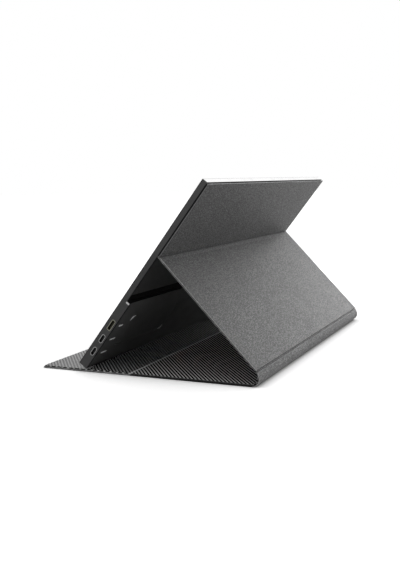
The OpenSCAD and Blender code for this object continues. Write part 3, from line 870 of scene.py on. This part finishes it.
def build_cover():
    """The cover's four flat panels and their linings, each with its arguments in a row."""
    # Each panel's side walls take their own grey: lighter where they catch light, which is painted
    # highlight, and black where they lie in shadow, which is painted shade; the pressed lines take a
    # darker leather, which is painted shade
    sheets = (
        ("upper_panel", "upper_panel_skin", upper_place, CREASE_S + FOLD_GAP, UPPER_TOP_S,
         [skin, panel_rim, edge, pressed], 0.0, PANEL_R, True, False, ()),
        ("leg", "leg_panel_skin", leg_place, 0.9, LEG_L - FOLD_GAP,
         [skin, rim, edge, skin], 0.0, 0.0, True, True, (4.6,)),
        ("rear_base", "rear_base_panel_skin", base_place, SEAM_Y + FOLD_GAP, BEND_Y,
         [skin, edge, edge, skin], 0.0, 0.0, True, True, ()),
        ("front_base", "front_base_panel_skin", base_place, TIP_Y, SEAM_Y - FOLD_GAP,
         [skin, flap_edge, flap_edge, skin], COVER_R, 0.0, False, True, ()),
    )
    for body, *shape in sheets:
        piece = skin_panel(*shape)
        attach(piece, body)
    # The linings' borders take lighter greys on the leg, the flap and the upper panel's top, which is
    # painted highlight, and darker ones on the rear base and the upper panel's sides, which is painted
    # shade
    linings = (
        ("upper_panel", "upper_panel_lining", upper_place, CREASE_S + 0.8, UPPER_TOP_S - HEM_IN,
         [upper_lining, dark_edge, light_edge], 0.0, PANEL_R - HEM_IN),
        ("leg", "leg_panel_lining", leg_place, 2.0, LEG_L - 0.8,
         [leg_lining, cut_edge, cut_edge], 0.0, 0.0),
        ("rear_base", "rear_base_panel_lining", base_place, SEAM_Y + 0.9, BEND_Y,
         [inner_lining, base_edge, base_edge], 0.0, 0.0),
        ("front_base", "front_base_panel_lining", base_place, TIP_Y + HEM_IN, SEAM_Y - 0.9,
         [base_lining, flap_border, flap_border], COVER_R - HEM_IN, 0.0),
    )
    for body, *shape in linings:
        piece = ribbed_lining(*shape)
        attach(piece, body)
    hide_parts("upper_skin", "upper_lining")
    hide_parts("leg_skin", "leg_lining")
    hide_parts("rear_base_skin", "rear_base_lining")
    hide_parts("front_base_skin", "front_base_lining")


build_cover()


def at(y, z):
    """A point in the plane across the hinges, in metres."""
    return (0, y * MM, z * MM)


def bend_between(piece, a, b, start, end, slot):
    at(*start)
    at(*end)
    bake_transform(piece)


def below(corner, outward, depth):
    """The point so deep below a corner, both as (y, z)."""
    return (corner[0] - depth * outward[0], corner[1] - depth * outward[1])


def normal_angle(outward):
    return math.degrees(math.atan2(outward[1], outward[0]))


# Outer and inner depth of the strips across the folds, and the lining's grid step there
SKIN_STRIP = (0.15, 1.45)
LINING_TOP = RIM_T + 0.02
LINING_STRIP = (LINING_TOP, 2.34)
RIB_STEP = 1.2
LEG_NORMAL = normal_angle(LEG_OUT)
UPPER_NORMAL = normal_angle(UPPER_OUT)
SPINE_NORMAL = math.degrees(SPINE_LEAN)


def build_upper_fold():
    """Strips of skin and lining across the crease between the leg and the upper panel."""
    crease = (CREASE_Y, CREASE_Z)
    path = turn_path(crease, 0.25, LEG_NORMAL, UPPER_NORMAL, 10)
    # The crease's skin takes the darker pressed leather, painted shade in the fold
    piece = path_strip("upper_fold_skin", path, *SKIN_STRIP, [pressed])
    ends = [below(crease, outward, 1.4) for outward in (LEG_OUT, UPPER_OUT)]
    bend_between(piece, "leg", "upper_panel", *ends, "cover_skin")
    path = turn_path(crease, 0.75, LEG_NORMAL, UPPER_NORMAL, 10)
    piece = path_strip("upper_fold_lining", path, *LINING_STRIP, [upper_lining], LINING_HALF_W,
                       ribs=True, step=RIB_STEP)
    ends = [below(crease, outward, 2.3) for outward in (LEG_OUT, UPPER_OUT)]
    bend_between(piece, "leg", "upper_panel", *ends, "cover_lining")


def build_spine_fold():
    """Strips of skin and lining across the crease between the spine and the leg."""
    crease = (SPINE_Y, SPINE_Z)
    path = turn_path(crease, 0.85, SPINE_NORMAL, LEG_NORMAL, 2)
    piece = path_strip("spine_fold_skin", path, 0.3, 1.3, [skin])
    bend_between(piece, "spine", "leg", path[0][:2], path[-1][:2], "cover_skin")
    path = turn_path(crease, 2.0, SPINE_NORMAL, LEG_NORMAL, 2)
    piece = path_strip("spine_fold_lining", path, *LINING_STRIP, [leg_lining], LINING_HALF_W,
                       ribs=True, step=RIB_STEP)
    ends = [
        below((y, z), (math.cos(normal), math.sin(normal)), COVER_T)
        for y, z, normal in (path[1], path[-2])
    ]
    bend_between(piece, "spine", "leg", *ends, "cover_lining")


def build_spine():
    """The spine's skin and lining, which run round its bend and into the base."""
    tail = (SPINE_Z - BEND_R - BEND_R * math.sin(SPINE_LEAN)) / math.cos(SPINE_LEAN)
    start = on_bend(math.radians(-69))
    end = on_bend(math.radians(-21))
    # The spine's lighter leather and its wall greys are painted light and shade
    skin_piece = path_strip("spine_skin_sheet", bend_path(tail - 0.9), 0.0, RIM_T,
                            [spine_leather_painted_light, rim, edge, spine_leather_painted_light],
                            side_r=HEM_REACH, step=SKIN_STEP)
    bend_between(skin_piece, "rear_base", "spine", start, end, "cover_skin")
    lining_piece = path_strip("spine_lining_sheet", bend_path(tail - 2.1), LINING_TOP, COVER_T,
                              [bend_lining], LINING_HALF_W, ribs=True, step=1.0)
    bend_between(lining_piece, "rear_base", "spine", start, end, "cover_lining")
    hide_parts("spine_skin")
    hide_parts("spine_lining")


def build_seam():
    """Strips of skin and lining across the seam between the base's two panels."""
    piece = path_strip("seam_skin", flat_path(SEAM_Y, 0.25, 4), *SKIN_STRIP, [skin])
    ends = [(SEAM_Y - 0.25, 0), (SEAM_Y + 0.25, 0)]
    bend_between(piece, "front_base", "rear_base", *ends, "cover_skin")
    piece = path_strip("seam_lining", flat_path(SEAM_Y, 0.85, 8), LINING_TOP, COVER_T + 0.12,
                       [seam_cloth], LINING_HALF_W)
    ends = [(SEAM_Y - 0.7, 0), (SEAM_Y + 0.7, 0)]
    bend_between(piece, "front_base", "rear_base", *ends, "cover_lining")


build_upper_fold()
build_spine_fold()
build_spine()
build_seam()


def build_stitches():
    """Long dark stitches that hold the lining along the cover's free edges."""
    inner = LINING_HALF_W - 1.0
    tip = TIP_Y + HEM_IN
    flap_lines = [((2 - inner, tip), (inner - 2, tip))]
    flap_lines += [((x, TIP_Y + 2.5), (x, SEAM_Y - 2)) for x in (LINING_HALF_W, -LINING_HALF_W)]
    leg_lines = [((x, 4), (x, LEG_L - 3)) for x in (inner, -inner)]
    # each shape is depth of the centre, half width and half height of the stitches
    rows = (
        ("front_base_stitches", "front_base", base_place, (RIM_T + 0.45, 0.3, 0.52), flap_lines),
        ("leg_stitches", "leg", leg_place, (COVER_T, 0.5, 0.25), leg_lines),
    )
    for name, body, place, shape, lines in rows:
        points, faces = [], []
        for begin, finish in lines:
            stitch_row(points, faces, place, begin, finish, *shape)
        piece = new_piece(name, points, faces, [thread])
        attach(piece, body)


def outline_ring(width, height, radius, steps=6):
    """A rounded rectangle about (0, 0), as (along, across) points."""
    ring = []
    for sx, sy, turn in ((1, 1, 0), (-1, 1, 90), (-1, -1, 180), (1, -1, 270)):
        for k in range(steps + 1):
            angle = math.radians(turn + 90 * k / steps)
            ring.append((sx * (width / 2 - radius) + radius * math.cos(angle),
                         sy * (height / 2 - radius) + radius * math.sin(angle)))
    return ring


def lofted_ring(name, spots, profile, materials):
    """A closed ring: each spot is a function of (offset, height), swept round by the profile."""
    n, total = len(profile), len(spots)
    points = [spot(offset, height) for spot in spots for offset, height in profile]
    faces = []
    for i in range(total):
        for k in range(n):
            j, m = (i + 1) % total, (k + 1) % n
            faces.append((i * n + k, i * n + m, j * n + m, j * n + k))
    return new_piece(name, points, faces, materials, smooth=60)


def ring_spots(ring, locate):
    """Turns ring points into spot functions, offset outwards from the ring's own line."""
    spots = []
    count = len(ring)
    for i, here in enumerate(ring):
        before, after = ring[i - 1], ring[(i + 1) % count]
        dx, dy = after[0] - before[0], after[1] - before[1]
        length = max(1e-9, math.hypot(dx, dy))
        out = (dy / length, -dx / length)
        spots.append(lambda offset, height, p=here, o=out: locate(
            p[0] + o[0] * offset, p[1] + o[1] * offset, height))
    return spots


SOCKET_F = 3.6
RIM_PROFILE = (
    (-0.02, -0.35), (0.0, 0.03), (0.1, 0.06), (0.32, 0.05), (0.42, 0.0), (0.4, -0.1),
)


def build_socket_rims():
    """The bright machined chamfer round each socket's opening in the side frame."""
    # name, middle up the display, long side, short side, corner radius, material
    sizes = (
        ("usb_lower_rim", 21.0, 9.2, 3.46, 1.7, chamfer),
        ("usb_upper_rim", 37.7, 9.2, 3.46, 1.7, chamfer),
        ("video_rim", 55.5, 11.5, 3.5, 0.9, olive),
    )
    for name, s_mid, long_side, short_side, radius, material in sizes:
        def locate(along, across, height, s_mid=s_mid):
            return display_place(DISPLAY_HALF_W + height, s_mid + along, SOCKET_F + across)
        spots = ring_spots(outline_ring(long_side, short_side, radius), locate)
        piece = lofted_ring(name, spots, RIM_PROFILE, [material])
        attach(piece, "display")


DASH_WIDE = 1.9
DASH_R = 0.9
DASH_HIGH = 0.12
DASH_BEVEL = 0.08


def socket_dash(name, inset, s_mid, length):
    """A thin raised dash with round ends on the back, inset so far from the socket side."""
    ring = outline_ring(length, DASH_WIDE, DASH_R, 4)
    top = 1 - 2 * DASH_BEVEL / length
    points = []
    for shrink, depth in ((1, 0.05), (1, -DASH_HIGH / 2), (top, -DASH_HIGH)):
        for dx, ds in ring:
            x = DISPLAY_HALF_W - inset + dx * shrink
            points.append(display_place(x, s_mid + ds * shrink, depth))
    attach(new_piece(name, points, ring_faces(3, len(ring)), [ink]), "display")


CORNER_REACH = 5.6
CORNER_THICK = 1.1


def label_corner(name, x_mid, s_mid, turn):
    """A raised squarish quarter turn in near white at a corner of the blank label field, thickest in
    its middle: a painted glint.
    """
    steps, sides = 12, 8
    points = []
    for k in range(steps + 1):
        angle = math.radians(turn + 90 * k / steps)
        thick = CORNER_THICK * math.sin(math.pi * (0.12 + 0.76 * k / steps))
        out_x = math.copysign(abs(math.cos(angle)) ** 0.55, math.cos(angle))
        out_s = math.copysign(abs(math.sin(angle)) ** 0.55, math.sin(angle))
        for j in range(sides):
            roll = 2 * math.pi * j / sides
            reach = CORNER_REACH + thick * math.cos(roll)
            depth = -0.5 * thick * math.sin(roll)
            points.append(display_place(x_mid + reach * out_x, s_mid + reach * out_s, depth))
    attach(new_piece(name, points, ring_faces(steps + 1, sides), [label_glint_white]), "display")


FACET_S = SHOULDER_S - 1.05
FACET_F = 2.1
FACET_WIDE = 1.9
FACET_LONG = 3.9
FACET_R = 0.6


def build_shoulder_facets():
    """A near-white facet at the side frame's step, one on each side: a painted glint."""
    ring = outline_ring(FACET_WIDE, FACET_LONG, FACET_R, 4)
    for name, sign in (("shoulder_facet_right", 1), ("shoulder_facet_left", -1)):
        points = []
        for shrink, rise in ((1.0, -1.6), (1.0, 0.02), (0.86, 0.14)):
            for ds, df in ring:
                x = sign * (DISPLAY_HALF_W + rise)
                points.append(display_place(x, FACET_S + ds * shrink, FACET_F + df * shrink))
        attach(new_piece(name, points, ring_faces(3, len(ring)), [bright]), "display")


def display_strip(name, profile, half, material):
    """A strip across the display with a cross section of (depth below the housing, height)."""
    spots = (-half, -half + 0.3, half - 0.3, half)
    points = [display_place(x, s, f) for x in spots for f, s in profile]
    faces = ring_faces(len(spots), len(profile))
    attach(new_piece(name, points, faces, [material]), "display")


def build_display_strips():
    """A polished near-white strip along the upper edge, a painted highlight, and a matt black one in
    the corner of the shoulder, a painted shade.
    """
    top, front = DISPLAY_H, DISPLAY_T
    profile = (
        (4.1, top - 0.4), (4.08, top - 0.1), (4.3, top + 0.02), (front - 0.25, top + 0.02),
        (front + 0.03, top - 0.12), (front + 0.03, top - 0.55),
    )
    # A near-white mirror strip on the display's top: painted highlight
    display_strip("top_strip", profile, DISPLAY_HALF_W - 0.9, top_highlight)
    # A matt black band above the shoulder: painted shade at the step
    low, high, back = SHOULDER_S - 0.2, SHOULDER_S + 7.2, THIN_BACK_F
    profile = (
        (0.45, low), (0.4, low + 0.3), (back - 0.3, low + 0.32), (back - 0.1, low + 0.5),
        (back - 0.1, high - 0.1), (back + 0.05, high), (back + 0.05, low),
    )
    display_strip("shoulder_painted_shade", profile, DISPLAY_HALF_W - 1.3, edge)


def build_foot_strip():
    """The soft strip along the display's lowest edge, pressed on the lining."""
    half = DISPLAY_HALF_W - 4
    y, z = FOOT_Y - 0.1, FOOT_Z + 0.3
    sides, stops = 10, 24
    points = []
    for i in range(stops + 1):
        x = -half + 2 * half * i / stops
        thick = 0.42 if 0 < i < stops else 0.1
        for k in range(sides):
            roll = 2 * math.pi * k / sides
            points.append(Vector((x, y + 1.3 * thick * math.cos(roll), z + thick * math.sin(roll))))
    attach(new_piece("foot_strip", points, ring_faces(stops + 1, sides), [edge]), "display")


build_stitches()
build_socket_rims()
socket_dash("socket_dash_lower", 15.35, 19.2, 11)
socket_dash("socket_dash_middle", 15.35, 37.0, 11)
socket_dash("socket_dash_upper", 13.85, 55.3, 7.6)
# Two near-white corners of the blank label, painted glints
label_corner("label_corner_upper", 146.25, 58.0, 0)
label_corner("label_corner_lower", 57.45, 30.0, 180)
build_shoulder_facets()
build_display_strips()
build_foot_strip()


# Camera, floor and light, in metres. The camera was solved from the photograph.
CAMERA_AT = (0.81535, 0.35887, 0.1832)
CAMERA_YAW = math.radians(25.14)
CAMERA_PITCH = math.radians(7.51)
CAMERA_ROLL = math.radians(-1.44)
FOCAL_PX = 777.6
LONG_SIDE_PX = 570
SENSOR_MM = 36.0


def add_camera():
    data = bpy.data.cameras.new("camera")
    data.sensor_fit = "AUTO"
    data.sensor_width = SENSOR_MM
    data.lens = SENSOR_MM * FOCAL_PX / LONG_SIDE_PX
    data.clip_start = 0.01
    data.clip_end = 50
    forward = Vector((
        -math.cos(CAMERA_YAW) * math.cos(CAMERA_PITCH),
        -math.sin(CAMERA_YAW) * math.cos(CAMERA_PITCH),
        -math.sin(CAMERA_PITCH),
    ))
    right = forward.cross(Vector((0, 0, 1))).normalized()
    up = right.cross(forward)
    turned_right = right * math.cos(CAMERA_ROLL) + up * math.sin(CAMERA_ROLL)
    turned_up = up * math.cos(CAMERA_ROLL) - right * math.sin(CAMERA_ROLL)
    camera = bpy.data.objects.new("camera", data)
    bpy.context.scene.collection.objects.link(camera)
    turn = Matrix((turned_right, turned_up, -forward)).transposed()
    camera.matrix_world = Matrix.Translation(Vector(CAMERA_AT)) @ turn.to_4x4()
    bpy.context.scene.camera = camera


def add_world(sky_light):
    """A white sky that lights the object with sky_light of what is seen of it."""
    world = bpy.data.worlds.new("studio")
    world.use_nodes = True
    bpy.context.scene.world = world
    tree = world.node_tree
    background = tree.nodes["Background"]
    background.inputs["Color"].default_value = (1, 1, 1, 1)
    # 1 for what the camera sees, directly, mirrored or through glass
    path = tree.nodes.new("ShaderNodeLightPath").outputs
    seen = math_node(tree, "MAXIMUM", path["Is Camera Ray"], path["Is Glossy Ray"])
    seen = math_node(tree, "MAXIMUM", seen, path["Is Transmission Ray"])
    strength = map_node(tree, seen, sky_light, 1.0)
    tree.links.new(strength, background.inputs["Strength"])


CONTACT_REACH = 0.011
CONTACT_POWER = 0.65


def floor_paint(bounce, seen):
    """Pale paint with a faint grain, shaded close to the object for the camera alone."""
    material = bpy.data.materials.new("floor_pale")
    material.use_nodes = True
    tree = material.node_tree
    tree.nodes.remove(tree.nodes["Principled BSDF"])
    diffuse = tree.nodes.new("ShaderNodeBsdfDiffuse")
    grain = tree.nodes.new("ShaderNodeTexNoise")
    grain.inputs["Scale"].default_value = 40
    tone = map_node(tree, grain.outputs["Fac"], 0.96, 1.0)
    camera_ray = tree.nodes.new("ShaderNodeLightPath").outputs["Is Camera Ray"]
    paint = map_node(tree, camera_ray, bounce, seen)
    contact = tree.nodes.new("ShaderNodeAmbientOcclusion")
    contact.samples = 24
    contact.inputs["Distance"].default_value = CONTACT_REACH
    weight = math_node(tree, "MULTIPLY", camera_ray, CONTACT_POWER)
    shade = math_node(tree, "POWER", contact.outputs["AO"], weight)
    toned = math_node(tree, "MULTIPLY", shade, tone)
    colour = math_node(tree, "MULTIPLY", paint, toned)
    tree.links.new(colour, diffuse.inputs["Color"])
    tree.links.new(diffuse.outputs[0], tree.nodes["Material Output"].inputs["Surface"])
    return material


def add_floor(bounce, seen):
    """A pale floor that is white where nothing shades it and keeps the object's contact shadow.

    bounce is how much light it sends back to the object, and seen is what the camera sees.
    """
    half = 12.0
    mesh = bpy.data.meshes.new("floor")
    corners = [(-half, -half, 0), (half, -half, 0), (half, half, 0), (-half, half, 0)]
    mesh.from_pydata(corners, [], [(0, 1, 2, 3)])
    floor = bpy.data.objects.new("floor", mesh)
    floor.location = (0, 0, -0.0002)
    bpy.context.scene.collection.objects.link(floor)
    mesh.materials.append(floor_paint(bounce, seen))


def add_lamp(name, kind, aim, power):
    """A lamp that shines along aim."""
    data = bpy.data.lights.new(name, kind)
    data.energy = power
    lamp = bpy.data.objects.new(name, data)
    lamp.rotation_mode = "QUATERNION"
    lamp.rotation_quaternion = Vector(aim).to_track_quat("-Z", "Y")
    bpy.context.scene.collection.objects.link(lamp)
    return lamp


def add_lights():
    """A low softbox beyond the display's far side, and a broad sun from the spine's side."""
    box = add_lamp("far_side", "AREA", (0.7, -0.13, -0.11), 1.1)
    box.location = (-0.85, 0.2, 0.19)
    box.data.shape = "RECTANGLE"
    box.data.size = 0.5
    box.data.size_y = 0.2
    box.visible_camera = False
    sun = add_lamp("key_rear", "SUN", (0.0, -0.7, -0.6), 0.62)
    sun.data.angle = math.radians(40)


add_camera()
add_world(0.5)
add_floor(0.95, 2.0)
add_lights()
bpy.context.scene.view_settings.view_transform = "Standard"
